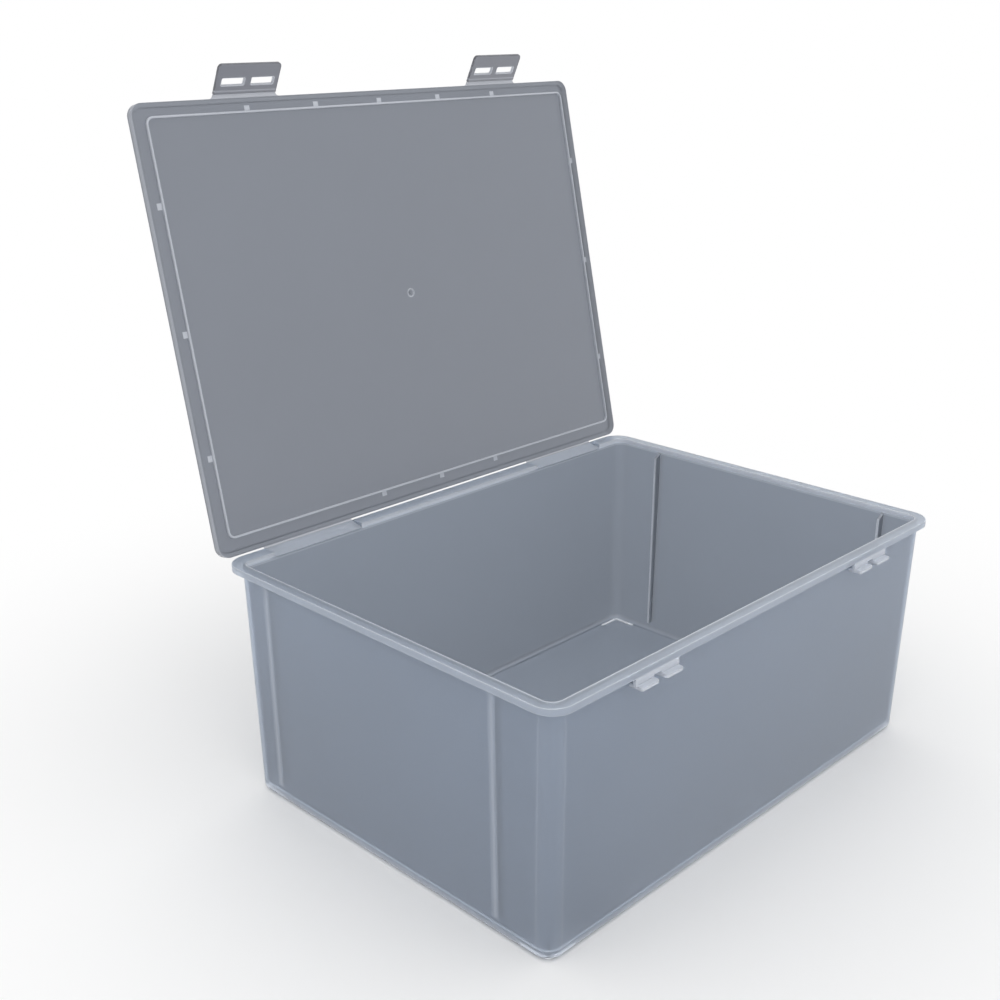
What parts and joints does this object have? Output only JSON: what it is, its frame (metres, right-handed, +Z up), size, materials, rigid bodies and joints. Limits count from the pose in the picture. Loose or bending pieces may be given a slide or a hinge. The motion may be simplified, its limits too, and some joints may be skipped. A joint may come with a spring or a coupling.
{
  "type": "storage box with hinged lid",
  "caption": "Translucent rectangular storage box with an overhanging rim, a film-hinged lid with a raised edge, and windowed latch flaps that fold over front catches.",
  "frame": {"origin": "centre of the tub's outline, on the plane of its feet, 1.2 mm straight below the underside mount", "axes": "+X along the front edge to the viewer's right when facing the catches, -Y to the front where the catches are, +Z up"},
  "size_m": [0.34, 0.3102, 0.4019],
  "materials": {
    "tub_plastic": "frosted translucent",
    "lid_plastic": "frosted translucent",
    "film_plastic": "frosted translucent, stress-whitened"
  },
  "bodies": {
    "tub": {"tub": "tub_plastic", "lid_hinge_left": "film_plastic", "lid_hinge_right": "film_plastic"},
    "lid": {"lid": "lid_plastic", "latch_hinge_left": "film_plastic", "latch_hinge_right": "film_plastic"},
    "latch_left": {"latch_left": "lid_plastic"},
    "latch_right": {"latch_right": "lid_plastic"}
  },
  "joints": [
    {"name": "lid_hinge", "type": "hinge", "parent": "tub", "child": "lid", "pos_m": [0, 0.12576, 0.14097], "axis": [-1, 0, 0], "range_deg": [-102.5, 77.5], "deforming": ["lid_hinge_left", "lid_hinge_right"]},
    {"name": "latch_hinge_left", "type": "hinge", "parent": "lid", "child": "latch_left", "pos_m": [-0.0969, 0.18031, 0.3846], "axis": [1, 0, 0], "range_deg": [-68, 52], "deforming": ["latch_hinge_left"]},
    {"name": "latch_hinge_right", "type": "hinge", "parent": "lid", "child": "latch_right", "pos_m": [0.0969, 0.18031, 0.3846], "axis": [1, 0, 0], "range_deg": [-68, 52], "deforming": ["latch_hinge_right"]}
  ]
}
